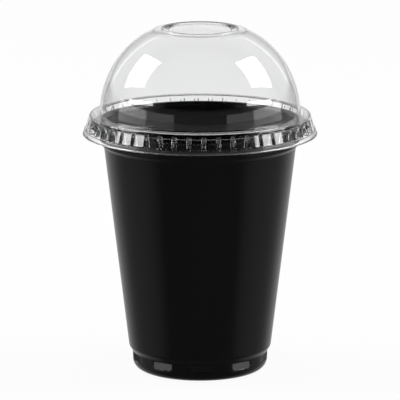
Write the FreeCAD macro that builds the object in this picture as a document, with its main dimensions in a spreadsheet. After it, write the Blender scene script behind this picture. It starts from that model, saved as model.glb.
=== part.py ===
import FreeCAD, Part
import math
import os
import re
import Sketcher

# A takeaway drinks cup and its clear dome lid, both formed in one piece from thin
# plastic sheet. Lengths are millimetres. +Z is up, and the origin is the middle of the
# ring that the cup stands on. The front of the set is towards -Y.

# Driving dimensions: a name, its value, and what it measures.
DIMENSIONS = [
    # Cup, from the floor up
    ("cup_wall", 0.7, "thickness of the cup's sheet"),
    ("recess_height", 2.4, "underside of the floor above the resting ring"),
    ("recess_slope", 1.2, "how much smaller the raised floor is than the ring's inside"),
    ("ring_width", 6.3, "resting ring, from its inner edge to the foot's lower corner"),
    ("foot_draft", 0.3, "how much narrower the foot is at its lower corner"),
    ("foot_radius", 30.2, "foot radius where it meets the stacking shoulder"),
    ("foot_height", 8.4, "height of the foot"),
    ("foot_round", 4.5, "rounding of the foot's lower corner"),
    ("shoulder_step", 1.48, "how far the wall stands out from the foot"),
    ("shoulder_rise", 2.2, "height of the stacking shoulder"),
    ("shoulder_round", 3.0, "rounding where the shoulder meets the wall"),
    ("dent_count", 10, "flat dents round the foot"),
    ("dent_width", 10.0, "width of a dent"),
    ("dent_height", 3.3, "height of a dent"),
    ("dent_drop", 0.5, "from the foot's top down to a dent"),
    ("dent_depth", 0.8, "depth of a dent at its top edge"),
    ("dent_lean", 0.35, "how much less deep a dent is at its bottom edge"),
    ("dent_turn", 20.0, "angle of one dent from +X, in degrees"),
    # Cup, from the rim down
    ("rim_height", 112.4, "top of the rolled rim"),
    ("rim_radius", 47.5, "outer radius of the rolled rim"),
    ("curl_radius", 1.78, "outer radius of the roll's section"),
    ("curl_end", 20.0, "angle by which the roll's end passes its lowest point"),
    ("band_step", 1.75, "how far the band under the rim stands out from the wall"),
    ("band_draft", 0.25, "how much narrower the band is at its lower edge"),
    ("band_rise", 1.5, "height of the slope between wall and band"),
    ("wall_drop", 11.2, "from the rim's top down to the top of the tapered wall"),
    # Clearances between cup and lid
    ("seat_gap", 0.1, "between the rim's top and the flutes that rest on it"),
    ("side_gap", 0.15, "between the rim's side and the flutes"),
    # Lid
    ("lid_wall", 0.35, "thickness of the lid's sheet"),
    ("crown_rise", 3.0, "crown's top above the rim"),
    ("crown_overhang", 1.35, "crown's edge beyond the rim, before rounding"),
    ("crown_round", 1.1, "rounding of the crown's edge"),
    ("skirt_drop", 3.6, "from the rim's top down to the end of the sloping skirt"),
    ("skirt_flare", 1.95, "how far the skirt widens from the crown to its end"),
    ("ledge_width", 0.5, "ledge below the flutes"),
    ("lip_drop", 5.4, "from the rim's top down to the top of the lip"),
    ("lip_width", 0.62, "how far the lip stands out"),
    ("lip_thickness", 0.5, "height of the lip's edge"),
    ("flute_count", 48, "flutes pressed into the skirt"),
    ("flute_width", 1.3, "width of a flute"),
    ("flute_top_drop", 1.8, "from the crown's top down to a flute"),
    ("flute_foot_rise", 0.1, "from the skirt's end up to a flute"),
    ("seat_reach", 1.95, "how far a flute reaches in over the rim"),
    ("flute_turn", 1.9, "angle of one flute from -Y, in degrees"),
    ("crown_width", 4.42, "flat ring of the crown, from its edge to the dome"),
    ("arc_offset", 2.94, "from the axis out to the centre of the dome's arc"),
    ("dome_foot_bevel", 0.4, "bevel between crown and dome"),
    ("land_radius", 20.4, "where the arc ends in the flat round the collar"),
    ("collar_radius", 17.1, "outer radius of the collar round the hole"),
    ("collar_height", 0.85, "height of the collar above the flat"),
    ("collar_bevel", 0.4, "bevel of the collar's top edge"),
    ("collar_dish", 0.65, "drop from the collar's top to the hole's edge"),
    ("hole_radius", 13.65, "radius of the drinking hole"),
]

# The rolled rim's section is short straight legs, which keeps the model light. They
# turn three quarters of a circle, and one more leg ends the roll.
ROLL_TURN = 270.0
ROLL_LEGS = 12

# Places that several features share, worked out from the dimensions above.
FOOT_BASE_RADIUS = "(foot_radius - foot_draft)"
RING_INNER_RADIUS = "(%s - ring_width)" % FOOT_BASE_RADIUS
RECESS_RADIUS = "(%s - recess_slope)" % RING_INNER_RADIUS
SHOULDER_TOP = "(foot_height + shoulder_rise)"
WALL_FOOT_RADIUS = "(foot_radius + shoulder_step)"
WALL_TOP = "(rim_height - wall_drop)"
CURL_HEIGHT = "(rim_height - curl_radius)"
CURL_CENTRE = "(rim_radius - curl_radius)"
BAND_RADIUS = "(rim_radius - 2 * curl_radius + cup_wall)"
BAND_FOOT_RADIUS = "(%s - band_draft)" % BAND_RADIUS
WALL_TOP_RADIUS = "(%s - band_step)" % BAND_FOOT_RADIUS
CROWN_TOP = "(rim_height + crown_rise)"
CROWN_RADIUS = "(rim_radius + crown_overhang)"
SKIRT_END = "(rim_height - skirt_drop)"
SKIRT_END_RADIUS = "(%s + skirt_flare)" % CROWN_RADIUS
LEDGE_RADIUS = "(%s + ledge_width)" % SKIRT_END_RADIUS
LIP_TOP = "(rim_height - lip_drop)"
LIP_RADIUS = "(%s + lip_width)" % LEDGE_RADIUS
DOME_FOOT_RADIUS = "(%s - crown_width)" % CROWN_RADIUS
ARC_RADIUS = "(%s - arc_offset)" % DOME_FOOT_RADIUS
LAND_HEIGHT = "(%s + sqrt(%s ^ 2 - (land_radius - arc_offset) ^ 2))" % (CROWN_TOP, ARC_RADIUS)
COLLAR_TOP = "(%s + collar_height)" % LAND_HEIGHT
HOLE_EDGE_TOP = "(%s - collar_dish)" % COLLAR_TOP

NEAR = 1e-4

doc = FreeCAD.newDocument("dome_cup")
sheet = doc.addObject("Spreadsheet::Sheet", "Sizes")
for row, (alias, value, meaning) in enumerate(DIMENSIONS, start=1):
    sheet.set("A%d" % row, meaning)
    sheet.set("B%d" % row, str(value))
    sheet.setAlias("B%d" % row, alias)
doc.recompute()
ALIASES = {alias for alias, value, meaning in DIMENSIONS}


def bound(text):
    """The same formula with each dimension's name pointing into the sheet."""
    return re.sub(r"[a-z_]+", lambda m: "Sizes." + m[0] if m[0] in ALIASES else m[0], text)


def value_of(text):
    """What a formula of dimension names comes to."""
    return float(sheet.evalExpression(bound(text)))


def origin_feature(body, role):
    """One of the body's own origin planes or axes."""
    return next(feature for feature in body.Origin.OriginFeatures if feature.Role == role)


def radial_sketch(body, name):
    """A sketch on the plane through the body's axis: across is radius, up is height."""
    sketch = body.newObject("Sketcher::SketchObject", name)
    sketch.AttachmentSupport = [(origin_feature(body, "XZ_Plane"), "")]
    sketch.MapMode = "FlatFace"
    return sketch


def arc_between(start, end, centre, clockwise):
    """The arc from start to end round a centre, as a curve that runs anticlockwise."""
    from_angle = math.atan2(start[1] - centre[1], start[0] - centre[0])
    to_angle = math.atan2(end[1] - centre[1], end[0] - centre[0])
    if clockwise:
        from_angle, to_angle = to_angle, from_angle
    middle = FreeCAD.Vector(centre[0], centre[1], 0)
    radius = math.hypot(start[0] - centre[0], start[1] - centre[1])
    circle = Part.Circle(middle, FreeCAD.Vector(0, 0, 1), radius)
    return Part.ArcOfCircle(circle, from_angle, to_angle)


def bind_place(sketch, leg, end, label, place):
    """Ties one end of a leg to its radius and its height."""
    for letter, kind, axis, formula in (
        ("r", "DistanceX", -2, place[0]),
        ("z", "DistanceY", -1, place[1]),
    ):
        value = value_of(formula)
        if abs(value) < NEAR:
            sketch.addConstraint(Sketcher.Constraint("PointOnObject", leg, end, axis))
            continue
        number = sketch.addConstraint(Sketcher.Constraint(kind, -1, 1, leg, end, value))
        constraint = "%s_%s" % (label, letter)
        sketch.renameConstraint(number, constraint)
        sketch.setExpression("Constraints." + constraint, bound(formula))


def draw_outline(sketch, corners):
    """Draws a closed outline through its corners and ties each to the dimensions.

    A corner is a name, its radius and its height. A leg that is an arc has two more
    entries after the corner it leaves: the arc's centre, and whether it runs clockwise.
    """
    places = [(value_of(corner[1]), value_of(corner[2])) for corner in corners]
    starts = []
    for number, corner in enumerate(corners):
        here = places[number]
        there = places[(number + 1) % len(corners)]
        if len(corner) == 3:
            line = Part.LineSegment(FreeCAD.Vector(*here, 0), FreeCAD.Vector(*there, 0))
            leg = sketch.addGeometry(line)
            starts.append((leg, 1, 2))
            continue
        centre = [value_of(formula) for formula in corner[3]]
        clockwise = corner[4]
        leg = sketch.addGeometry(arc_between(here, there, centre, clockwise))
        starts.append((leg, 2, 1) if clockwise else (leg, 1, 2))
        radius = math.hypot(here[0] - centre[0], here[1] - centre[1])
        number = sketch.addConstraint(Sketcher.Constraint("Radius", leg, radius))
        sketch.renameConstraint(number, corner[0] + "_arc")
        formula = "sqrt((%s - %s) ^ 2 + (%s - %s) ^ 2)" % (
            corner[1], corner[3][0], corner[2], corner[3][1])
        sketch.setExpression("Constraints.%s_arc" % corner[0], bound(formula))
    for number, corner in enumerate(corners):
        leg, start, end = starts[number]
        next_leg, next_start, next_end = starts[(number + 1) % len(corners)]
        sketch.addConstraint(Sketcher.Constraint("Coincident", leg, end, next_leg, next_start))
        bind_place(sketch, leg, start, corner[0], corner[1:3])


def revolve(body, sketch, name):
    """Turns an outline round the body's axis."""
    turned = body.newObject("PartDesign::Revolution", name)
    turned.Profile = sketch
    turned.ReferenceAxis = (sketch, ["V_Axis"])
    turned.Angle = 360
    sketch.Visibility = False
    doc.recompute()
    return turned


def ring_edge(feature, radius, height):
    """The name of the circular edge of a given radius at a given height."""
    wanted_radius = value_of(radius)
    wanted_height = value_of(height)
    for number, edge in enumerate(feature.Shape.Edges, start=1):
        curve = edge.Curve
        if curve.TypeId != "Part::GeomCircle":
            continue
        if abs(curve.Radius - wanted_radius) < NEAR and abs(curve.Center.z - wanted_height) < NEAR:
            return "Edge%d" % number
    raise ValueError("no edge of radius %s at height %s" % (radius, height))


def roll_legs(name, radius):
    """The corners of the rolled rim's section at a given radius of the roll, from the
    band's height over the top, down the outside and under to the roll's end."""
    angles = ["%.1f" % (180 - ROLL_TURN * leg / ROLL_LEGS) for leg in range(ROLL_LEGS + 1)]
    angles.append("(-90 - curl_end)")
    return [
        ("%s_%d" % (name, number),
         "%s + %s * cos(%s)" % (CURL_CENTRE, radius, angle),
         "%s + %s * sin(%s)" % (CURL_HEIGHT, radius, angle))
        for number, angle in enumerate(angles)]


def round_edge(body, feature, name, size, radius, height):
    """Rounds one circular edge."""
    rounding = body.newObject("PartDesign::Fillet", name)
    rounding.Base = (feature, [ring_edge(feature, radius, height)])
    rounding.setExpression("Radius", bound(size))
    doc.recompute()
    return rounding


def round_bend(body, feature, name, wall, size, outer, inner):
    """Rounds both faces of a bend in the sheet about one centre, outer face larger."""
    outer_round = round_edge(body, feature, name + "_outside", size, *outer)
    return round_edge(body, outer_round, name + "_inside", "%s - %s" % (size, wall), *inner)


def pressing(body, name, kind, corners, width):
    """A pad or pocket of constant width, square to the plane through the axis."""
    sketch = radial_sketch(body, name + "_outline")
    draw_outline(sketch, corners)
    doc.recompute()
    feature = body.newObject("PartDesign::" + kind, name)
    feature.Profile = sketch
    feature.SideType = "Symmetric"
    feature.setExpression("Length", bound(width))
    sketch.Visibility = False
    doc.recompute()
    return feature


def repeat_round(body, name, originals, count):
    """Repeats features evenly round the body's axis."""
    pattern = body.newObject("PartDesign::PolarPattern", name)
    pattern.Originals = originals
    pattern.Axis = (origin_feature(body, "Z_Axis"), [""])
    pattern.Angle = 360
    pattern.setExpression("Occurrences", bound(count))
    body.Tip = pattern
    doc.recompute()
    return pattern


def turn_body(body, formula):
    """Turns a finished body round the upright axis."""
    body.Placement = FreeCAD.Placement(FreeCAD.Vector(), FreeCAD.Rotation(0, 0, 0))
    body.setExpression("Placement.Rotation.Angle", bound(formula))
    doc.recompute()


def check_volume(feature, earlier, sign):
    """Stops where a feature did not add (sign 1) or remove (sign -1) material."""
    change = feature.Shape.Volume - earlier.Shape.Volume
    if change * sign <= 0:
        raise ValueError("%s changed the volume by %.3f" % (feature.Name, change))


# The cup: foot, shoulder, tapered wall, band and rolled rim in one sheet.
def make_cup():
    body = doc.addObject("PartDesign::Body", "CupBody")
    body.Label = "cup"
    sketch = radial_sketch(body, "CupSection")
    draw_outline(sketch, [
        # Outside, upwards from the middle of the floor
        ("floor_under", "0", "recess_height"),
        ("recess", RECESS_RADIUS, "recess_height"),
        ("ring", RING_INNER_RADIUS, "0"),
        ("foot_corner", FOOT_BASE_RADIUS, "0"),
        ("foot_top", "foot_radius", "foot_height"),
        ("shoulder", WALL_FOOT_RADIUS, SHOULDER_TOP),
        ("wall_top", WALL_TOP_RADIUS, WALL_TOP),
        ("band_foot", BAND_FOOT_RADIUS, WALL_TOP + " + band_rise"),
        # Round the roll along its inner face, and back over its outside
        *roll_legs("roll_in", "(curl_radius - cup_wall)"),
        *reversed(roll_legs("roll_out", "curl_radius")),
        # Inside, downwards to the middle of the floor
        ("band_inside", BAND_FOOT_RADIUS + " - cup_wall", WALL_TOP + " + band_rise + cup_wall / 2"),
        ("wall_inside", WALL_TOP_RADIUS + " - cup_wall", WALL_TOP + " + cup_wall / 2"),
        ("shoulder_inside", WALL_FOOT_RADIUS + " - cup_wall", SHOULDER_TOP + " + cup_wall / 2"),
        ("foot_inside", "foot_radius - cup_wall", "foot_height + cup_wall / 2"),
        ("gutter_outer", FOOT_BASE_RADIUS + " - cup_wall", "cup_wall"),
        ("gutter_inner", RING_INNER_RADIUS + " + cup_wall", "cup_wall"),
        ("floor_edge", RECESS_RADIUS + " + cup_wall", "recess_height + cup_wall"),
        ("floor_top", "0", "recess_height + cup_wall"),
    ])
    doc.recompute()
    shell = revolve(body, sketch, "CupShell")
    shaped = round_bend(
        body, shell, "FootRound", "cup_wall", "foot_round",
        (FOOT_BASE_RADIUS, "0"), (FOOT_BASE_RADIUS + " - cup_wall", "cup_wall"))
    shaped = round_bend(
        body, shaped, "ShoulderRound", "cup_wall", "shoulder_round",
        (WALL_FOOT_RADIUS, SHOULDER_TOP),
        (WALL_FOOT_RADIUS + " - cup_wall", SHOULDER_TOP + " + cup_wall / 2"))

    # Flat dents round the foot. Each has a flat inner face, so the sheet keeps its thickness.
    dent_top = "foot_height - dent_drop"
    dent_foot = "foot_height - dent_drop - dent_height"
    deep = "foot_radius - dent_depth"
    shallow = "foot_radius - dent_depth + dent_lean"
    back = pressing(body, "DentBack", "Pad", [
        ("in_foot", shallow + " - cup_wall", dent_foot + " - cup_wall"),
        ("out_foot", FOOT_BASE_RADIUS + " - cup_wall / 2", dent_foot + " - cup_wall"),
        ("out_top", "foot_radius - cup_wall / 2", dent_top + " + cup_wall / 2"),
        ("in_top", deep + " - cup_wall", dent_top + " + cup_wall / 2"),
    ], "dent_width + 2 * cup_wall")
    check_volume(back, shaped, 1)
    dent = pressing(body, "Dent", "Pocket", [
        ("in_foot", shallow, dent_foot),
        ("out_foot", "foot_radius + cup_wall", dent_foot),
        ("out_top", "foot_radius + cup_wall", dent_top),
        ("in_top", deep, dent_top),
    ], "dent_width")
    check_volume(dent, back, -1)
    repeat_round(body, "Dents", [back, dent], "dent_count")
    turn_body(body, "dent_turn")
    return body


# The lid: lip, fluted skirt, crown, dome and holed collar in one sheet.
def make_lid():
    body = doc.addObject("PartDesign::Body", "LidBody")
    body.Label = "dome_lid"
    arc = ("arc_offset", CROWN_TOP)
    arc_inside = "(%s - lid_wall)" % ARC_RADIUS
    arc_start = "arc_offset + sqrt(%s ^ 2 - dome_foot_bevel ^ 2)" % ARC_RADIUS
    land_inside = LAND_HEIGHT + " - lid_wall"
    land_inside_radius = "arc_offset + sqrt(%s ^ 2 - (%s - %s) ^ 2)" % (
        arc_inside, land_inside, CROWN_TOP)
    collar_inside = "collar_radius - lid_wall"
    collar_under = COLLAR_TOP + " - lid_wall"
    bevel_inside = "(collar_bevel - lid_wall * (2 - sqrt(2)))"
    sketch = radial_sketch(body, "LidSection")
    draw_outline(sketch, [
        # Outside, upwards from the lip to the hole
        ("lip_foot", LIP_RADIUS, LIP_TOP + " - lip_thickness"),
        ("lip_top", LIP_RADIUS, LIP_TOP),
        ("lip_root", LEDGE_RADIUS, LIP_TOP),
        ("ledge_edge", LEDGE_RADIUS, SKIRT_END),
        ("skirt_end", SKIRT_END_RADIUS, SKIRT_END),
        ("crown_edge", CROWN_RADIUS, CROWN_TOP),
        ("dome_foot", DOME_FOOT_RADIUS + " + dome_foot_bevel", CROWN_TOP),
        ("dome_start", arc_start, CROWN_TOP + " + dome_foot_bevel", arc, False),
        ("land_edge", "land_radius", LAND_HEIGHT),
        ("collar_root", "collar_radius", LAND_HEIGHT),
        ("collar_side", "collar_radius", COLLAR_TOP + " - collar_bevel"),
        ("collar_top", "collar_radius - collar_bevel", COLLAR_TOP),
        ("hole_top", "hole_radius", HOLE_EDGE_TOP),
        # Inside, downwards from the hole to the lip
        ("hole_foot", "hole_radius", HOLE_EDGE_TOP + " - lid_wall"),
        ("collar_top_inside", "%s - %s" % (collar_inside, bevel_inside), collar_under),
        ("collar_side_inside", collar_inside, "%s - %s" % (collar_under, bevel_inside)),
        ("collar_root_inside", collar_inside, land_inside),
        ("land_inside", land_inside_radius, land_inside, arc, True),
        ("dome_inside", DOME_FOOT_RADIUS + " - lid_wall", CROWN_TOP),
        ("dome_under", DOME_FOOT_RADIUS + " - lid_wall", CROWN_TOP + " - lid_wall"),
        ("crown_inside", CROWN_RADIUS + " - lid_wall", CROWN_TOP + " - lid_wall"),
        ("skirt_inside", SKIRT_END_RADIUS + " - lid_wall", SKIRT_END + " - lid_wall"),
        ("ledge_inside", LEDGE_RADIUS + " - lid_wall", SKIRT_END + " - lid_wall"),
        ("lip_inside", LEDGE_RADIUS + " - lid_wall", LIP_TOP + " - lip_thickness"),
    ])
    doc.recompute()
    shell = revolve(body, sketch, "LidShell")
    shaped = round_bend(
        body, shell, "CrownRound", "lid_wall", "crown_round",
        (CROWN_RADIUS, CROWN_TOP), (CROWN_RADIUS + " - lid_wall", CROWN_TOP + " - lid_wall"))

    # Flutes pressed into the skirt. Their stepped floors sit on the rim and beside it.
    flute_top = CROWN_TOP + " - flute_top_drop"
    flute_foot = SKIRT_END + " + flute_foot_rise"
    seat = "rim_height + seat_gap"
    seat_radius = "rim_radius - seat_reach"
    side = "rim_radius + side_gap"
    outside = LEDGE_RADIUS + " + lip_width"
    slope = "(skirt_flare / (%s - %s))" % (CROWN_TOP, SKIRT_END)
    sheet_middle = "lid_wall / 2"
    back = pressing(body, "FluteBack", "Pad", [
        ("seat_in", seat_radius, seat),
        ("side_top", side, seat),
        ("side_foot", side, flute_foot + " - lid_wall"),
        ("skirt_foot", SKIRT_END_RADIUS + " - " + sheet_middle, flute_foot + " - lid_wall"),
        ("skirt_top", "%s + (flute_top_drop - lid_wall) * %s - %s" % (
            CROWN_RADIUS, slope, sheet_middle), flute_top + " + lid_wall"),
        ("roof_in", seat_radius, flute_top + " + lid_wall"),
    ], "flute_width + 2 * lid_wall")
    check_volume(back, shaped, 1)
    flute = pressing(body, "Flute", "Pocket", [
        ("seat_in", seat_radius + " + lid_wall", seat + " + lid_wall"),
        ("side_top", side + " + lid_wall", seat + " + lid_wall"),
        ("side_foot", side + " + lid_wall", flute_foot),
        ("out_foot", outside, flute_foot),
        ("out_top", outside, flute_top),
        ("roof_in", seat_radius + " + lid_wall", flute_top),
    ], "flute_width")
    check_volume(flute, back, -1)
    repeat_round(body, "Flutes", [back, flute], "flute_count")
    turn_body(body, "flute_turn")
    return body


def check(bodies):
    """Stops on anything that failed, before a file is written."""
    for item in doc.Objects:
        if {"Invalid", "Error"} & set(item.State):
            raise ValueError("%s is %s" % (item.Name, item.State))
    for body in bodies:
        if body.Shape.isNull() or not body.Shape.isValid() or len(body.Shape.Solids) != 1:
            raise ValueError("%s is not one valid solid" % body.Label)


bodies = [make_cup(), make_lid()]
doc.recompute()
check(bodies)
os.makedirs("parts", exist_ok=True)
for body in bodies:
    body.Shape.exportStep("parts/%s.step" % body.Label)
    box = body.Shape.BoundBox
    print("%s: volume %.1f mm3, z %.2f to %.2f, width %.2f" % (
        body.Label, body.Shape.Volume, box.ZMin, box.ZMax, box.XLength))
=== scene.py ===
# %% [markdown]
# # A takeaway drinks cup with a clear dome lid
#
# The real set is two pieces of thin plastic sheet. The cup is black, with a rolled rim, a
# band under it, a tapered wall and a stacking foot. The lid is clear, with a fluted skirt
# that grips the rim, a dome, and a collar round the drinking hole. The frame holds both at
# real size. This lesson gives each a smooth skin, its own finish, and a studio to stand in.

# %% Tools and the frame
import math

import bpy
import numpy as np
from mathutils import Matrix, Vector


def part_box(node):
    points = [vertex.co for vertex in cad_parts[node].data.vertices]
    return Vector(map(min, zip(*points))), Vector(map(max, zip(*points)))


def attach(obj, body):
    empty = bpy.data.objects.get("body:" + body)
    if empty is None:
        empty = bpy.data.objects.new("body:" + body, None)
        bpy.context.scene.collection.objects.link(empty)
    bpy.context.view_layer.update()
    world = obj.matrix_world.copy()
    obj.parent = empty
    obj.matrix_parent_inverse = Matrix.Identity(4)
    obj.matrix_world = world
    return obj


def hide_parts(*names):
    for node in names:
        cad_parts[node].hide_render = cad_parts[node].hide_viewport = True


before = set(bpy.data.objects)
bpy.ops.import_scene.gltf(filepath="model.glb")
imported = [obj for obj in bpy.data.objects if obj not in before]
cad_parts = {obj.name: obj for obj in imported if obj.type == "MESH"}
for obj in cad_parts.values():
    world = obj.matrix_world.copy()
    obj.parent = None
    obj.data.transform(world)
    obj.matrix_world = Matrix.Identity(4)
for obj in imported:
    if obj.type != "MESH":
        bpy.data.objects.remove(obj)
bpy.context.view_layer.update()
MM = 0.001

# %% [markdown]
# ## Sizes that come from the frame
#
# The frame already knows how tall and how wide each piece is. Reading those back keeps the
# skins in step with it, so that a change of rim or lip there needs no second edit here.
# Everything below is in millimetres until a mesh is made.

# %% Main sizes
cup_low, cup_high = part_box("cup")
lid_low, lid_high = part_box("dome_lid")
RIM_TOP = cup_high[2] / MM
RIM_RADIUS = (cup_high[0] - cup_low[0]) / 2 / MM
LIP_RADIUS = (lid_high[0] - lid_low[0]) / 2 / MM
LIP_FOOT = lid_low[2] / MM
LID_TOP = lid_high[2] / MM
print("rim %.2f wide at %.2f high, lid up to %.2f" % (2 * RIM_RADIUS, RIM_TOP, LID_TOP))

# %% [markdown]
# ## Drawing a section with rounded bends
#
# A thin formed sheet never has a sharp corner: it bends round a small radius. Each section
# is drawn as corners with a bend radius, and a helper replaces every corner by an arc that
# touches both of its legs. Bends are what catches the light on a glossy piece, so they are
# real geometry here and not a shading trick.


# %% Rounded corners
def bend(before, corner, after, radius, steps):
    """Points of the arc of a given radius that touches both legs of a corner.

    The arc starts radius / tan(half the angle between the legs) from the corner, and its
    centre is on the angle's bisector, radius / sin(half the angle) from the corner.
    """
    before, corner, after = (np.array(point, float) for point in (before, corner, after))
    back = (before - corner) / np.linalg.norm(before - corner)
    ahead = (after - corner) / np.linalg.norm(after - corner)
    half = math.acos(np.clip(back @ ahead, -1, 1)) / 2
    start = corner + back * radius / math.tan(half)
    end = corner + ahead * radius / math.tan(half)
    middle = (back + ahead) / np.linalg.norm(back + ahead)
    centre = corner + middle * radius / math.sin(half)
    from_angle = math.atan2(*(start - centre)[::-1])
    turn = math.atan2(*(end - centre)[::-1]) - from_angle
    turn = (turn + math.pi) % (2 * math.pi) - math.pi
    angles = from_angle + turn * np.linspace(0, 1, steps)
    return centre + radius * np.stack([np.cos(angles), np.sin(angles)], 1)


def arc(centre, radius, from_degrees, to_degrees, steps):
    """Points at even angles on a circle round a centre."""
    angles = np.radians(np.linspace(from_degrees, to_degrees, steps))
    return np.array(centre) + radius * np.stack([np.cos(angles), np.sin(angles)], 1)


def leg(start, end, steps):
    """Points at even distances between two places, with neither end."""
    share = np.linspace(0, 1, steps + 2)[1:-1, None]
    return np.array(start) * (1 - share) + np.array(end) * share


def section(corners):
    """A section through its corners: the first and last as they are, the rest as bends.

    A corner is its radius from the axis, its height, its bend radius and its arc steps.
    """
    places = [corner[:2] for corner in corners]
    parts = [np.array([places[0]])]
    for number in range(1, len(corners) - 1):
        radius, steps = corners[number][2:]
        parts.append(bend(places[number - 1], places[number], places[number + 1], radius, steps))
    parts.append(np.array([places[-1]]))
    return np.concatenate(parts)


# %% [markdown]
# ## Turning a section into a closed skin
#
# Both pieces are turned shapes with something repeated round them: dents on the cup's foot,
# flutes on the lid's skirt. A grid suits that. Its rows run along the section and its
# columns round the axis, and a column may have its own section. The grid goes into the mesh
# in one step, as whole arrays. Rows on the axis become a pole, which closes the skin there.

# %% From a grid to a mesh
SHARP_ANGLE = math.radians(50)


def turned_grid(sections, angles):
    """Places of a grid from one section per column: x = r cos a, y = r sin a, z = h."""
    radius, height = sections[..., 0], sections[..., 1]
    return np.stack([radius * np.cos(angles), radius * np.sin(angles), height], -1)


def shell_mesh(name, grid, poles):
    """A closed mesh from a grid of rows by columns by xyz, in millimetres.

    Face (row, column) joins that place to the next column and the next row. The columns
    close round the axis. With poles, the first and last rows are single points on the
    axis; without, the last row joins the first, so the section itself is a closed loop.
    """
    rows, columns = grid.shape[:2]
    index = np.arange(rows * columns).reshape(rows, columns)
    if poles:
        index[0] = index[0, 0]
        index[-1] = index[-1, 0]
        lower, upper = index[:-1], index[1:]
    else:
        lower, upper = index, np.roll(index, -1, 0)
    quads = np.stack([lower, np.roll(lower, -1, 1), np.roll(upper, -1, 1), upper], -1)
    quads = quads.reshape(-1, 4)
    fan_start = quads[:, 0] == quads[:, 1]
    fan_end = quads[:, 2] == quads[:, 3]
    triangles = np.concatenate([quads[fan_start][:, [0, 2, 3]], quads[fan_end][:, [0, 1, 2]]])
    quads = quads[~fan_start & ~fan_end]
    corners = np.concatenate([triangles.ravel(), quads.ravel()])
    used, corners = np.unique(corners, return_inverse=True)
    mesh = bpy.data.meshes.new(name)
    mesh.vertices.add(len(used))
    mesh.vertices.foreach_set("co", (grid.reshape(-1, 3)[used] * MM).ravel())
    mesh.loops.add(len(corners))
    mesh.loops.foreach_set("vertex_index", corners.astype(np.int32))
    sides = np.repeat([3, 4], [len(triangles), len(quads)])
    mesh.polygons.add(len(sides))
    mesh.polygons.foreach_set("loop_start", (np.cumsum(sides) - sides).astype(np.int32))
    mesh.update(calc_edges=True)
    mesh.validate()
    mesh.shade_smooth()
    mesh.set_sharp_from_angle(angle=SHARP_ANGLE)
    print("%s: %d places, %d faces" % (name, len(used), len(sides)))
    return mesh


def add_piece(name, mesh, node, body):
    """Puts a skin in the scene in place of its frame node, on the same moving body."""
    piece = bpy.data.objects.new(name, mesh)
    bpy.context.scene.collection.objects.link(piece)
    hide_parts(node)
    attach(piece, body)
    return piece


# %% [markdown]
# ## The cup's section
#
# The sheet starts at the middle of the raised floor, drops to the resting ring, turns up
# the foot, steps out at the stacking shoulder, and runs up the taper. Near the top it steps
# out into the band and then rolls outwards and down into the rim, which stiffens the mouth
# and gives the lid something to grip. The same path comes back one wall thickness inside.

# %% Cup sizes
CUP_WALL = 0.7
RECESS = (22.4, 2.4)
RING_INNER = 23.6
RING_ROUND = 0.6
RING_ROUND_INSIDE = 0.4
FOOT_BASE = 29.9
FOOT_TOP = (30.2, 8.4)
FOOT_ROUND = 4.5
FOOT_TOP_ROUND = 0.25
FOOT_TOP_ROUND_INSIDE = 0.5
SHOULDER = (31.68, 10.6)
SHOULDER_ROUND = 3.0
CURL_RADIUS = 1.78
CURL_CENTRE = (RIM_RADIUS - CURL_RADIUS, RIM_TOP - CURL_RADIUS)
CURL_START = 180
CURL_END = -110
BAND_TOP = CURL_CENTRE[0] - CURL_RADIUS + CUP_WALL
BAND_FOOT = (BAND_TOP - 0.25, RIM_TOP - 9.7)
WALL_TOP = (BAND_FOOT[0] - 1.75, RIM_TOP - 11.2)
BAND_ROUND = 1.2
DENTED_FROM = 3.5
DENTED_ROWS = 0.16
PLAIN_ROWS = 4.0
print("cup: %.1f across the foot, %.2f under the roll" % (2 * FOOT_TOP[0], 2 * BAND_TOP))


# %% Cup outline
def cup_outside():
    """The outer face, from the middle of the floor's underside up to the roll."""
    return section([
        (0, RECESS[1], 0, 0), (*RECESS, RING_ROUND, 4), (RING_INNER, 0, RING_ROUND, 4),
        (FOOT_BASE, 0, FOOT_ROUND, 14), (*FOOT_TOP, FOOT_TOP_ROUND, 4),
        (*SHOULDER, SHOULDER_ROUND, 9), (*WALL_TOP, BAND_ROUND, 6),
        (*BAND_FOOT, BAND_ROUND, 6), (BAND_TOP, CURL_CENTRE[1], 0, 0)])


def cup_inside():
    """The inner face, from the roll down to the middle of the floor."""
    wall = CUP_WALL
    return section([
        (BAND_TOP - wall, CURL_CENTRE[1], 0, 0),
        (BAND_FOOT[0] - wall, BAND_FOOT[1] + wall / 2, BAND_ROUND, 6),
        (WALL_TOP[0] - wall, WALL_TOP[1] + wall / 2, BAND_ROUND, 6),
        (SHOULDER[0] - wall, SHOULDER[1] + wall / 2, SHOULDER_ROUND - wall, 9),
        (FOOT_TOP[0] - wall, FOOT_TOP[1] + wall / 2, FOOT_TOP_ROUND_INSIDE, 4),
        (FOOT_BASE - wall, wall, FOOT_ROUND - wall, 12),
        (RING_INNER + wall, wall, RING_ROUND_INSIDE, 4),
        (RECESS[0] + wall, RECESS[1] + wall, RING_ROUND, 4), (0, RECESS[1] + wall, 0, 0)])


def filled(points, longest):
    """The same path with extra places wherever a leg is longer than a given length."""
    parts = []
    for start, end in zip(points[:-1], points[1:]):
        steps = int(np.linalg.norm(end - start) / longest(start, end))
        parts += [start[None], leg(start, end, steps)]
    return np.concatenate(parts + [points[-1:]])


def cup_row_spacing(start, end):
    """How far apart rows may be: close together where the foot is dented, wide elsewhere."""
    height = (start[1] + end[1]) / 2
    dented = FOOT_BASE - 2 < min(start[0], end[0]) and DENTED_FROM < height < FOOT_TOP[1]
    return DENTED_ROWS if dented else PLAIN_ROWS


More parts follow.
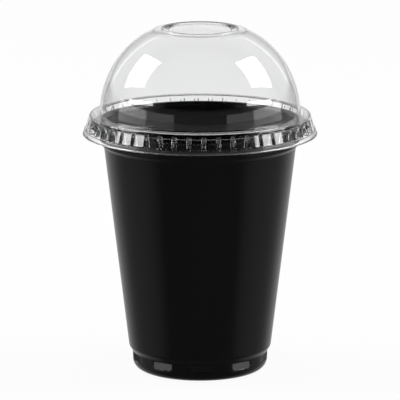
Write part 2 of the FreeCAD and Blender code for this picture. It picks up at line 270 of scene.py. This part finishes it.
roll_inside = arc(CURL_CENTRE, CURL_RADIUS - CUP_WALL, CURL_START, CURL_END, 20)
roll_outside = arc(CURL_CENTRE, CURL_RADIUS, CURL_END, CURL_START, 28)
cup_path = np.concatenate([
    filled(cup_outside(), cup_row_spacing)[:-1], roll_inside, roll_outside,
    filled(cup_inside(), cup_row_spacing)[1:]])
print("cup outline: %d rows" % len(cup_path))

# %% [markdown]
# ## Flat dents round the foot
#
# Ten flat dents stop stacked cups from locking together. Each is a flat face that cuts the
# round foot a little way in, deeper at its top. On the grid that is one rule: a place
# inside the dent's width and height may stand no further out than the dent's flat face. The
# columns are set close together at the dents' sides, where the sheet turns sharply.

# %% Dent sizes
DENT_COUNT = 10
DENT_WIDTH = 10.0
DENT_TOP = FOOT_TOP[1] - 0.5
DENT_FOOT = DENT_TOP - 3.3
DENT_DEPTH = 0.8
DENT_LEAN = 0.35
DENT_TURN = math.radians(20)
DENT_EDGE = 0.14
DENT_COLUMNS = [1.3, 2.6, 3.8, 4.6, 4.86, 5.0, 5.14, 5.4, 5.6, 5.7, 5.8, 6.6, 7.8]
print("%d dents, from %.1f to %.1f high" % (DENT_COUNT, DENT_FOOT, DENT_TOP))


# %% Dented foot
def soft_step(value, edge, width):
    """0 below an edge and 1 above it, with a smooth 3t^2 - 2t^3 rise across its width."""
    share = np.clip((value - edge) / (2 * width) + 0.5, 0, 1)
    return share * share * (3 - 2 * share)


def dent_columns():
    """Angles of the columns: for each dent the same set of places across the foot."""
    half = np.array(DENT_COLUMNS)
    across = np.concatenate([-half[::-1], [0], half]) / FOOT_TOP[0]
    sector = np.append(np.arcsin(across), math.pi / DENT_COUNT)
    turns = np.arange(DENT_COUNT) * 2 * math.pi / DENT_COUNT
    return (DENT_TURN + turns[:, None] + sector).ravel()


def dented(path, angles, inner_from):
    """The cup's sections, one per column, with the foot pressed back to each dent's face.

    Across is r sin(a) and out is r cos(a) from the dent's middle. Out is limited to the
    flat face, which leans from its top edge to its bottom edge, and one wall less inside.
    """
    sections = np.repeat(path[:, None, :], len(angles), 1)
    sector = 2 * math.pi / DENT_COUNT
    off = (angles - DENT_TURN + sector / 2) % sector - sector / 2
    across = sections[..., 0] * np.sin(off)
    out = sections[..., 0] * np.cos(off)
    height = sections[..., 1]
    wall = np.where(np.arange(len(path)) < inner_from, 0, CUP_WALL)[:, None]
    below_top = (DENT_TOP - height) / (DENT_TOP - DENT_FOOT)
    face = FOOT_TOP[0] - DENT_DEPTH - wall + DENT_LEAN * below_top
    in_width = 1 - soft_step(np.abs(across), DENT_WIDTH / 2 + wall, DENT_EDGE)
    over_foot = soft_step(height, DENT_FOOT - wall, DENT_EDGE)
    under_top = 1 - soft_step(height, DENT_TOP + wall / 2, DENT_EDGE)
    inside = in_width * over_foot * under_top
    on_foot = (height < FOOT_TOP[1] + wall / 2) & (sections[..., 0] > FOOT_BASE - 3)
    pressed = np.minimum(out, face)
    out = np.where(on_foot, out + inside * (pressed - out), out)
    sections[..., 0] = np.hypot(across, out)
    return sections


cup_angles = dent_columns()
cup_sections = dented(cup_path, cup_angles, len(filled(cup_outside(), cup_row_spacing)))
cup_mesh = shell_mesh("cup_skin", turned_grid(cup_sections, cup_angles), poles=True)
cup = add_piece("cup_skin", cup_mesh, "cup", "cup")

# %% [markdown]
# ## The lid's section
#
# From the lip the sheet goes up a short band, in over a ledge, up the sloping skirt, round
# the crown, and then up the dome. The dome's arc has its centre a little off the axis, so
# it stands steeper at the foot than a ball would. At the top a flat ring carries a raised
# collar that dips towards the hole.

# %% Lid sizes
LID_WALL = 0.35
LIP_TOP = LIP_FOOT + 0.5
LIP_ROUND = 0.24
LEDGE_ROUND = 0.15
LEDGE_TOP_ROUND = 0.22
LEDGE_ROUND_INSIDE = 0.12
SKIRT_FOOT_ROUND = 0.1
SKIRT_FOOT_ROUND_INSIDE = 0.2
LEDGE_RADIUS = LIP_RADIUS - 0.62
SKIRT_FOOT = (LEDGE_RADIUS - 0.5, RIM_TOP - 3.6)
CROWN = (RIM_RADIUS + 1.35, RIM_TOP + 3.0)
CROWN_ROUND = 1.1
DOME_FOOT = CROWN[0] - 4.42
DOME_FOOT_ROUND = 0.6
ARC_OFFSET = 2.94
ARC_RADIUS = DOME_FOOT - ARC_OFFSET
ARC_START = 1.5
ARC_START_INSIDE = 0.5
ARC_END_GAP = 0.8
LAND_RADIUS = 20.4
LAND_ROUND = 0.5
COLLAR_RADIUS = 17.1
COLLAR_TOP = LID_TOP
COLLAR_FOOT_ROUND = 0.22
COLLAR_FOOT_ROUND_INSIDE = 0.4
COLLAR_ROUND = 0.32
COLLAR_ROUND_INSIDE = 0.15
HOLE = (13.65, LID_TOP - 0.65)
HOLE_ROUND = 0.12
DOME_STEPS = 14
LAND = CROWN[1] + math.sqrt(ARC_RADIUS ** 2 - (LAND_RADIUS - ARC_OFFSET) ** 2)
print("dome: from %.2f wide at %.1f high to %.2f high" % (2 * DOME_FOOT, CROWN[1], LAND))


# %% Dome outline
def dome_outside():
    """The outer face from the crown's flat ring up the dome and over to the hole."""
    end = math.degrees(math.acos((LAND_RADIUS - ARC_OFFSET) / ARC_RADIUS))
    rise = arc((ARC_OFFSET, CROWN[1]), ARC_RADIUS, ARC_START, end - ARC_END_GAP, DOME_STEPS)
    foot = bend((CROWN[0], CROWN[1]), (DOME_FOOT, CROWN[1]), rise[0], DOME_FOOT_ROUND, 6)
    top = section([
        (*rise[-1], 0, 0), (LAND_RADIUS, LAND, LAND_ROUND, 3),
        (COLLAR_RADIUS, LAND, COLLAR_FOOT_ROUND, 3),
        (COLLAR_RADIUS, COLLAR_TOP, COLLAR_ROUND, 5), (*HOLE, HOLE_ROUND, 3),
        (HOLE[0], HOLE[1] - LID_WALL, 0, 0)])
    return np.concatenate([foot, rise, top[1:-1]])


def dome_inside():
    """The inner face from the hole back down to the crown's flat ring."""
    wall = LID_WALL
    radius = ARC_RADIUS - wall
    land = LAND - wall
    end = math.degrees(math.asin((land - CROWN[1]) / radius))
    fall = arc((ARC_OFFSET, CROWN[1]), radius, end - ARC_END_GAP, ARC_START_INSIDE, DOME_STEPS)
    top = section([
        (*HOLE, 0, 0), (HOLE[0], HOLE[1] - wall, HOLE_ROUND, 3),
        (COLLAR_RADIUS - wall, COLLAR_TOP - wall, COLLAR_ROUND_INSIDE, 3),
        (COLLAR_RADIUS - wall, land, COLLAR_FOOT_ROUND_INSIDE, 3),
        (LAND_RADIUS - wall, land, LAND_ROUND, 3), (*fall[0], 0, 0)])
    foot = bend(fall[-1], (DOME_FOOT - wall, CROWN[1] - wall), (CROWN[0], CROWN[1] - wall),
                DOME_FOOT_ROUND + wall, 6)
    return np.concatenate([top[1:-1], fall, foot])


# %% [markdown]
# ## Flutes in the skirt
#
# Forty-eight narrow flutes are pressed into the skirt and grip the rim's side, so the lid is
# held by the flutes and not by the whole skirt. A flute's floor stands upright beside the
# rim, bends outwards and runs into the skirt above the rim's top. The small step by which it
# rests on the rim is left to the frame. The plain section and the fluted one have the
# same number of rows, so any column can be a mix of the two: plain between the flutes,
# fluted in their middles, and a smooth change across the flute's side walls.

# %% Flute sizes
FLUTE_COUNT = 48
FLUTE_WIDTH = 1.3
FLUTE_TOP = CROWN[1] - 2.1
FLUTE_FOOT = SKIRT_FOOT[1] + 0.2
FLUTE_TURN = math.radians(-90 + 1.9)
FLUTE_BEND = 0.14
FLUTE_KNEE = RIM_TOP - 1.4
KNEE_ROUND = 2.0
SIDE_RADIUS = RIM_RADIUS + 0.15
SIDE_WALL = 0.28
SIDE_WALL_INSIDE = 0.10
FLUTE_COLUMNS = [0.40, 0.52, 0.65, 0.78, 0.92, 1.1, 1.9]
print("%d flutes, from %.1f to %.1f high" % (FLUTE_COUNT, FLUTE_FOOT, FLUTE_TOP))


# %% Skirt outline, plain and fluted
def skirt_radius(height, wall):
    """Radius of the sloping skirt at a height, for its outer face or one wall inside."""
    slope = (CROWN[0] - SKIRT_FOOT[0]) / (CROWN[1] - SKIRT_FOOT[1])
    return SKIRT_FOOT[0] - wall + slope * (height - SKIRT_FOOT[1] + wall)


def flute_rows(wall):
    """A flute's floor from its foot up to its roof, and the plain skirt's matching rows.

    The matching rows stand at shares of the height, closer together at the flute's foot.
    """
    foot = FLUTE_FOOT - wall
    roof = FLUTE_TOP + wall
    side = SIDE_RADIUS + LID_WALL - wall
    floor = section([
        (skirt_radius(foot, wall), foot, 0, 0), (side, foot, FLUTE_BEND, 3),
        (side, FLUTE_KNEE - wall, KNEE_ROUND, 6), (skirt_radius(roof, wall), roof, 0, 0)])
    floor = np.concatenate([floor[:4], leg(floor[3], floor[4], 2), floor[4:]])
    share = np.concatenate([[0], np.linspace(0.03, 0.09, 3), np.linspace(0.2, 0.93, 8), [1]])
    height = foot + share * (roof - foot)
    plain = np.stack([skirt_radius(height, wall), height], 1)
    return floor, plain


def lid_sections():
    """The lid's closed section, fluted and plain, and which rows are the inner face."""
    wall = LID_WALL
    lip = section([
        (LEDGE_RADIUS - wall, LIP_FOOT, 0, 0), (LIP_RADIUS, LIP_FOOT, LIP_ROUND, 5),
        (LIP_RADIUS, LIP_TOP, LIP_ROUND, 5), (LEDGE_RADIUS, LIP_TOP, LEDGE_ROUND, 3),
        (LEDGE_RADIUS, SKIRT_FOOT[1], LEDGE_TOP_ROUND, 3), (*SKIRT_FOOT, SKIRT_FOOT_ROUND, 2),
        (skirt_radius(FLUTE_FOOT, 0), FLUTE_FOOT, 0, 0)])[:-1]
    crown = bend(SKIRT_FOOT, CROWN, (DOME_FOOT, CROWN[1]), CROWN_ROUND, 7)
    crown_inside = bend(
        (DOME_FOOT, CROWN[1] - wall), (CROWN[0] - wall, CROWN[1] - wall),
        (skirt_radius(SKIRT_FOOT[1], wall), SKIRT_FOOT[1]), CROWN_ROUND - wall, 5)
    lip_inside = section([
        (skirt_radius(FLUTE_FOOT, wall), FLUTE_FOOT, 0, 0),
        (SKIRT_FOOT[0] - wall, SKIRT_FOOT[1] - wall, SKIRT_FOOT_ROUND_INSIDE, 3),
        (LEDGE_RADIUS - wall, SKIRT_FOOT[1] - wall, LEDGE_ROUND_INSIDE, 3),
        (LEDGE_RADIUS - wall, LIP_FOOT, 0, 0)])[1:-1]
    floor, plain = flute_rows(0)
    floor_inside, plain_inside = flute_rows(wall)
    paths = [
        np.concatenate([
            lip, outer, crown, dome_outside(), dome_inside(), crown_inside, inner[::-1],
            lip_inside])
        for outer, inner in ((floor, floor_inside), (plain, plain_inside))]
    first_inside = len(lip) + len(floor) + len(crown) + len(dome_outside())
    return paths[0], paths[1], first_inside


def flute_columns():
    """Column angles and how far each is across its flute, in millimetres."""
    half = np.array(FLUTE_COLUMNS)
    middle = (CROWN[0] + SKIRT_FOOT[0]) / 2
    across = np.concatenate([-half[::-1], [0], half, [math.pi / FLUTE_COUNT * middle]])
    turns = np.arange(FLUTE_COUNT) * 2 * math.pi / FLUTE_COUNT
    angles = (FLUTE_TURN + turns[:, None] + across / middle).ravel()
    return angles, np.tile(across, FLUTE_COUNT)


fluted_path, plain_path, first_inside = lid_sections()
lid_angles, lid_across = flute_columns()
rows_inside = np.arange(len(fluted_path)) >= first_inside
half_width = FLUTE_WIDTH / 2 + np.where(rows_inside, LID_WALL, 0)[:, None]
side_wall = np.where(rows_inside, SIDE_WALL_INSIDE, SIDE_WALL)[:, None]
fluting = 1 - soft_step(np.abs(lid_across), half_width, side_wall)
lid_rows = plain_path[:, None] + fluting[..., None] * (fluted_path - plain_path)[:, None]
lid_mesh = shell_mesh("dome_lid_skin", turned_grid(lid_rows, lid_angles), poles=False)
lid = add_piece("dome_lid_skin", lid_mesh, "dome_lid", "lid")

# %% [markdown]
# ## What forming leaves on the sheet
#
# Sheet that is heated and drawn over a mould is never optically flat. It keeps a faint
# ripple, slight streaks in the direction it was drawn, and a fine texture from the mould.
# One node group makes all three from the piece's own coordinates, so they stay fixed to the
# piece, and both plastics use it with their own amounts.


# %% Node helpers
def link(tree, start, end):
    """Joins an output socket to an input socket."""
    tree.links.new(start, end)


def noise(tree, vector, scale, detail):
    """A noise texture's value, from 0 to 1 around 0.5."""
    texture = tree.nodes.new("ShaderNodeTexNoise")
    texture.inputs["Scale"].default_value = scale
    texture.inputs["Detail"].default_value = detail
    link(tree, vector, texture.inputs["Vector"])
    return texture.outputs["Fac"]


def maths(tree, operation, first, second):
    """A Math node of two inputs, each a socket or a number."""
    node = tree.nodes.new("ShaderNodeMath")
    node.operation = operation
    for number, value in enumerate((first, second)):
        if isinstance(value, (int, float)):
            node.inputs[number].default_value = value
        else:
            link(tree, value, node.inputs[number])
    return node.outputs[0]


def ramp(tree, value, low, high, bottom, top):
    """A smooth change from bottom to top as a value goes from low to high."""
    node = tree.nodes.new("ShaderNodeMapRange")
    node.interpolation_type = "SMOOTHSTEP"
    limits = {"From Min": low, "From Max": high, "To Min": bottom, "To Max": top}
    for socket, number in limits.items():
        node.inputs[socket].default_value = number
    link(tree, value, node.inputs["Value"])
    return node.outputs["Result"]


def product(tree, *values):
    """All of its inputs multiplied together."""
    result = values[0]
    for value in values[1:]:
        result = maths(tree, "MULTIPLY", result, value)
    return result


# %% Forming marks
RIPPLE_SCALE = 45
STREAK_SCALE = 260
GRAIN_SCALE = 2400
SCUFF_SCALE = 90
DRAWN = (1.0, 1.0, 0.12)
STREAK_SHARE = 0.12
GRAIN_SHARE = 0.02


def forming_marks():
    """A group that gives a roughness, a height and a scuff mask for a formed sheet.

    Height is ripple + a share of the streaks + a share of the grain x the Grain input.
    Roughness is its base + variation x (scuffs - 0.5).
    """
    tree = bpy.data.node_groups.new("forming_marks", "ShaderNodeTree")
    for name, value in {"Roughness": 0.1, "Variation": 0.1, "Grain": 1.0}.items():
        socket = tree.interface.new_socket(name, in_out="INPUT", socket_type="NodeSocketFloat")
        socket.default_value = value
    for name in ("Roughness", "Height", "Scuffs"):
        tree.interface.new_socket(name, in_out="OUTPUT", socket_type="NodeSocketFloat")
    entry = tree.nodes.new("NodeGroupInput")
    leave = tree.nodes.new("NodeGroupOutput")
    place = tree.nodes.new("ShaderNodeTexCoord").outputs["Object"]
    drawn = tree.nodes.new("ShaderNodeMapping")
    drawn.inputs["Scale"].default_value = DRAWN
    link(tree, place, drawn.inputs["Vector"])
    ripple = noise(tree, place, RIPPLE_SCALE, 1)
    streaks = noise(tree, drawn.outputs["Vector"], STREAK_SCALE, 2)
    grain = noise(tree, place, GRAIN_SCALE, 2)
    scuffs = noise(tree, drawn.outputs["Vector"], SCUFF_SCALE, 5)
    waves = maths(tree, "ADD", ripple, maths(tree, "MULTIPLY", streaks, STREAK_SHARE))
    fine = product(tree, grain, GRAIN_SHARE, entry.outputs["Grain"])
    height = maths(tree, "ADD", waves, fine)
    swing = maths(tree, "SUBTRACT", scuffs, 0.5)
    swing = maths(tree, "MULTIPLY", swing, entry.outputs["Variation"])
    link(tree, maths(tree, "ADD", entry.outputs["Roughness"], swing), leave.inputs["Roughness"])
    link(tree, height, leave.inputs["Height"])
    link(tree, scuffs, leave.inputs["Scuffs"])
    return tree


def marked_plastic(name, dark, light, roughness, variation, grain, bump):
    """A plastic with the forming marks in its roughness, its colour and its surface."""
    material = bpy.data.materials.new(name)
    material.use_nodes = True
    tree = material.node_tree
    shader = tree.nodes["Principled BSDF"]
    marks = tree.nodes.new("ShaderNodeGroup")
    marks.node_tree = MARKS
    for socket, value in {"Roughness": roughness, "Variation": variation, "Grain": grain}.items():
        marks.inputs[socket].default_value = value
    tint = tree.nodes.new("ShaderNodeMix")
    tint.data_type = "RGBA"
    tint.inputs["A"].default_value = (*dark, 1)
    tint.inputs["B"].default_value = (*light, 1)
    link(tree, marks.outputs["Scuffs"], tint.inputs["Factor"])
    link(tree, tint.outputs["Result"], shader.inputs["Base Color"])
    link(tree, marks.outputs["Roughness"], shader.inputs["Roughness"])
    relief = tree.nodes.new("ShaderNodeBump")
    relief.inputs["Strength"].default_value = 1.0
    relief.inputs["Distance"].default_value = bump
    link(tree, marks.outputs["Height"], relief.inputs["Height"])
    link(tree, relief.outputs["Normal"], shader.inputs["Normal"])
    return material, shader


MARKS = forming_marks()
print("the marks take", len(MARKS.nodes), "nodes")

# %% [markdown]
# ## The two plastics
#
# The cup's black goes right through the sheet, so almost nothing comes back from inside it
# and what one sees is gloss. The lid is clear: light passes both faces and bends a little,
# so it shows mostly at its bends and edges. The sheet also swallows a trace of light on the
# way, and its two trimmed edges, at the lip and at the hole, are rough and scatter light.

# %% Finishes
def cut_edges():
    """A group whose mask is 1 on the lip's trimmed edge and on the hole's, and 0 between.

    Both edges are known by their distance from the axis, sqrt(x^2 + y^2).
    """
    tree = bpy.data.node_groups.new("cut_edges", "ShaderNodeTree")
    tree.interface.new_socket("Mask", in_out="OUTPUT", socket_type="NodeSocketFloat")
    flat = tree.nodes.new("ShaderNodeVectorMath")
    flat.operation = "MULTIPLY"
    flat.inputs[1].default_value = (1, 1, 0)
    link(tree, tree.nodes.new("ShaderNodeTexCoord").outputs["Object"], flat.inputs[0])
    reach = tree.nodes.new("ShaderNodeVectorMath")
    reach.operation = "LENGTH"
    link(tree, flat.outputs["Vector"], reach.inputs[0])
    lip_start, lip_full = (LIP_RADIUS - 0.12) * MM, (LIP_RADIUS - 0.04) * MM
    hole_full, hole_end = (HOLE[0] + 0.03) * MM, (HOLE[0] + 0.10) * MM
    outer = ramp(tree, reach.outputs["Value"], lip_start, lip_full, 0, 1)
    inner = ramp(tree, reach.outputs["Value"], hole_full, hole_end, 1, 0)
    link(tree, maths(tree, "ADD", outer, inner), tree.nodes.new("NodeGroupOutput").inputs["Mask"])
    return tree


CUT_ROUGHNESS = 0.8
BLACK = (0.0018, 0.0018, 0.0020)
WORN_BLACK = (0.0034, 0.0034, 0.0037)
CLEAR = (0.985, 0.988, 0.988)
CLEAREST = (0.998, 0.999, 0.999)
HAZE_COLOUR = (0.80, 0.82, 0.82, 1)
HAZE_DENSITY = 120
black_plastic, shader = marked_plastic(
    "cup_plastic", BLACK, WORN_BLACK, roughness=0.13, variation=0.06, grain=1.0, bump=0.00002)
shader.inputs["IOR"].default_value = 1.49
clear_plastic, shader = marked_plastic(
    "lid_plastic", CLEAR, CLEAREST, roughness=0.012, variation=0.015, grain=0.1, bump=0.000012)
shader.inputs["IOR"].default_value = 1.53
shader.inputs["Transmission Weight"].default_value = 1.0
clear_tree = clear_plastic.node_tree
cut_mask = clear_tree.nodes.new("ShaderNodeGroup")
cut_mask.node_tree = cut_edges()
trimmed = maths(clear_tree, "MULTIPLY", cut_mask.outputs["Mask"], CUT_ROUGHNESS)
polished = shader.inputs["Roughness"].links[0].from_socket
link(clear_tree, maths(clear_tree, "ADD", polished, trimmed), shader.inputs["Roughness"])
haze = clear_tree.nodes.new("ShaderNodeVolumeAbsorption")
haze.inputs["Color"].default_value = HAZE_COLOUR
haze.inputs["Density"].default_value = HAZE_DENSITY
link(clear_tree, haze.outputs["Volume"], clear_tree.nodes["Material Output"].inputs["Volume"])
cup_mesh.materials.append(black_plastic)
lid_mesh.materials.append(clear_plastic)
print("finishes:", black_plastic.name, clear_plastic.name)

# %% [markdown]
# ## The studio
#
# The set stands on a pale floor in front of a white background, which the camera sees
# directly and through the clear lid. What the plastics mirror is another matter, and here it
# is told by direction alone: a bright wall high behind the set and a dimmer one low behind
# it, walls and upright panels at both sides, a window beyond each panel, and darkness
# overhead and in front. That darkness is what gives black plastic its depth.

# %% Floor
FLOOR_SIZE = 12
FLOOR_GLOW = 0.93
FLOOR_GREY = (0.9, 0.9, 0.9, 1)


def straight_through(tree):
    """Two masks: what is seen directly or through clear plastic, and what is mirrored."""
    path = tree.nodes.new("ShaderNodeLightPath")
    camera_ray, through_ray = path.outputs["Is Camera Ray"], path.outputs["Is Transmission Ray"]
    seen = maths(tree, "MAXIMUM", camera_ray, through_ray)
    mirrored = maths(tree, "GREATER_THAN", path.outputs["Glossy Depth"], 0.5)
    return maths(tree, "MULTIPLY", seen, maths(tree, "SUBTRACT", 1.0, mirrored)), mirrored


def floor_material():
    """White to the camera and through clear plastic, with the object's faint shadow."""
    material = bpy.data.materials.new("floor_white")
    material.use_nodes = True
    tree = material.node_tree
    tree.nodes.clear()
    straight, _ = straight_through(tree)
    sheet = tree.nodes.new("ShaderNodeBsdfDiffuse")
    sheet.inputs["Color"].default_value = FLOOR_GREY
    glow = tree.nodes.new("ShaderNodeEmission")
    glow.inputs["Strength"].default_value = 1.0
    mix = tree.nodes.new("ShaderNodeMixShader")
    link(tree, maths(tree, "MULTIPLY", straight, FLOOR_GLOW), mix.inputs["Fac"])
    link(tree, sheet.outputs["BSDF"], mix.inputs[1])
    link(tree, glow.outputs["Emission"], mix.inputs[2])
    leave = tree.nodes.new("ShaderNodeOutputMaterial")
    link(tree, mix.outputs["Shader"], leave.inputs["Surface"])
    return material


bpy.ops.mesh.primitive_plane_add(size=FLOOR_SIZE)
floor = bpy.context.object
floor.name = "floor"
floor.data.materials.append(floor_material())
floor.visible_glossy = False
print("floor %d m wide" % FLOOR_SIZE)

# %% [markdown]
# ## The room in the reflections
#
# Each part of the room is a product of ramps on the direction: how far aside, how far back
# and how high it points, each from -1 to 1. The brightness of each part was set by comparing
# one region of the plastic that mirrors it with the same region of the photograph.

# %% Room
BACK_LIGHT = 0.9
LOW_BACK_LIGHT = 0.55
STRIP_LIGHT = 1.4
FRONT_LIGHT = 0.08
OVERHEAD_LIGHT = 0.01
MOUTH_LIGHT = 0.11
SIDE_LIGHT = 0.26
PANEL_LIGHT = 0.6
WING_LIGHT = 2.0
WINDOW_LIGHT = 6.0
WINDOW_SLANT = 0.18
AMBIENT = 0.55


def mirrored_room(tree, across, back, up):
    """How bright the room is in each direction, for light that a surface has mirrored.

    The direction is given by its share to the side, to the back and upwards. The brightest
    part of the room wins.
    """
    aside = maths(tree, "ABSOLUTE", across, 0)
    slant = maths(tree, "ADD", up, maths(tree, "MULTIPLY", back, WINDOW_SLANT))
    high = ramp(tree, up, 0.03, 0.15, 0.0, 1.0)
    not_low = ramp(tree, up, -0.15, -0.09, 0.0, 1.0)
    level = product(tree, not_low, ramp(tree, back, 0.25, 0.35, 1.0, 0.0))
    below_eyes = product(tree, level, ramp(tree, up, 0.13, 0.17, 1.0, 0.0))
    # The dim front, and what the mouth's wall mirrors.
    front = ramp(tree, up, -0.20, 0.20, FRONT_LIGHT, OVERHEAD_LIGHT)
    mouth = product(tree, level, ramp(tree, up, 0.20, 0.30, MOUTH_LIGHT, 0.0))
    side = ramp(tree, aside, 0.55, 0.95, 0.0, SIDE_LIGHT)
    # The wall behind, from the floor up.
    low_back = product(
        tree, ramp(tree, back, 0.35, 0.95, SIDE_LIGHT, LOW_BACK_LIGHT),
        ramp(tree, up, -0.21, -0.17, 1.0, 0.0), ramp(tree, back, 0.0, 0.35, 0.0, 1.0))
    horizon = product(
        tree, ramp(tree, back, 0.84, 0.90, 0.0, BACK_LIGHT),
        ramp(tree, up, -0.21, -0.19, 0.0, 1.0), ramp(tree, up, 0.03, 0.10, 1.0, 0.0))
    high_back = product(
        tree, high, ramp(tree, back, 0.15, 0.70, 0.0, BACK_LIGHT),
        ramp(tree, back, 0.78, 0.83, 1.0, 0.6))
    strip = product(
        tree, high, ramp(tree, back, 0.70, 0.73, 0.0, STRIP_LIGHT),
        ramp(tree, back, 0.77, 0.80, 1.0, 0.0))
    straight_back = ramp(tree, back, 0.93, 0.99, 0.0, BACK_LIGHT)
    # Panels at both sides, the wings beyond them and a slanted window in each wing.
    panel = product(tree, below_eyes, ramp(tree, aside, 0.48, 0.52, 0.0, PANEL_LIGHT))
    wing = product(tree, below_eyes, ramp(tree, aside, 0.87, 0.92, 0.0, WING_LIGHT))
    window = product(
        tree, ramp(tree, aside, 0.80, 0.83, 0.0, WINDOW_LIGHT),
        ramp(tree, back, 0.03, 0.10, 1.0, 0.0),
        ramp(tree, slant, 0.155, 0.175, 0.0, 1.0), ramp(tree, slant, 0.225, 0.245, 1.0, 0.0))
    behind = (low_back, horizon, high_back, strip, straight_back)
    brightest = front
    for part in (mouth, side, *behind, panel, wing, window):
        brightest = maths(tree, "MAXIMUM", brightest, part)
    return brightest


def room():
    """White straight through, the mirrored room in reflections, and plain light otherwise."""
    world = bpy.data.worlds.new("room")
    world.use_nodes = True
    tree = world.node_tree
    background = tree.nodes["Background"]
    split = tree.nodes.new("ShaderNodeSeparateXYZ")
    link(tree, tree.nodes.new("ShaderNodeTexCoord").outputs["Generated"], split.inputs["Vector"])
    reflected = mirrored_room(tree, split.outputs["X"], split.outputs["Y"], split.outputs["Z"])
    straight, mirrored = straight_through(tree)
    other = maths(tree, "SUBTRACT", 1.0, maths(tree, "MAXIMUM", straight, mirrored))
    reflected = maths(tree, "MULTIPLY", mirrored, reflected)
    plain = maths(tree, "MULTIPLY", other, AMBIENT)
    strength = maths(tree, "ADD", straight, maths(tree, "ADD", reflected, plain))
    link(tree, strength, background.inputs["Strength"])
    background.inputs["Color"].default_value = (1, 1, 1, 1)
    bpy.context.scene.world = world
    return world


print("the room takes", len(room().node_tree.nodes), "nodes")

# %% [markdown]
# ## Soft lamps
#
# A lamp is placed by the direction that its reflection comes from: how far round from the
# camera, how high, and how far it is rolled. Its power follows from how bright its face is
# and how large it is, because a flat lamp spreads its light over its area.

# %% Lamps
LAMP_DISTANCE = 1.5
LAMP_SIDE = 0.80
LAMP_BRIGHTNESS = 4.5


def soft_lamp(name, round_degrees, up_degrees, roll_degrees):
    """A square lamp aimed at the dome: its power is brightness times its area times pi."""
    data = bpy.data.lights.new(name, "AREA")
    data.shape = "SQUARE"
    data.size = LAMP_SIDE
    data.energy = LAMP_BRIGHTNESS * LAMP_SIDE ** 2 * math.pi
    lamp = bpy.data.objects.new(name, data)
    bpy.context.scene.collection.objects.link(lamp)
    turn, rise = math.radians(round_degrees), math.radians(up_degrees)
    level = math.cos(rise)
    away = Vector((math.sin(turn) * level, -math.cos(turn) * level, math.sin(rise)))
    place = Matrix.Translation(Vector((0, 0, CROWN[1] * MM)) + away * LAMP_DISTANCE)
    aim = away.to_track_quat("Z", "Y").to_matrix().to_4x4()
    lamp.matrix_world = place @ aim @ Matrix.Rotation(math.radians(roll_degrees), 4, "Z")
    return lamp


lamps = [soft_lamp("lamp_left", -102, 36.6, 28), soft_lamp("lamp_right", 96.3, 39, -28)]
print("lamps:", [lamp.name for lamp in lamps])

# %% [markdown]
# ## The camera
#
# The photograph was taken from far away with a long lens, twelve degrees above level. That
# keeps the cup's sides nearly straight in perspective and shows the rim as a thin ellipse.

# %% Camera
LENS = 360
SENSOR = 36
IMAGE_SIDE = 400
PIXELS_PER_MM = 2.25
ELEVATION = math.radians(12.09)
AIM_HEIGHT = 76.13 * MM
camera_data = bpy.data.cameras.new("camera")
camera_data.lens = LENS
camera_data.sensor_width = SENSOR
camera_data.clip_end = 100
camera = bpy.data.objects.new("camera", camera_data)
bpy.context.scene.collection.objects.link(camera)
distance = LENS / SENSOR * IMAGE_SIDE / PIXELS_PER_MM * MM
camera.location = (0, -distance * math.cos(ELEVATION), AIM_HEIGHT + distance * math.sin(ELEVATION))
camera.rotation_euler = (math.pi / 2 - ELEVATION, 0, 0)
bpy.context.scene.camera = camera
bpy.context.scene.view_settings.view_transform = "Standard"
print("camera %.3f m away" % distance)
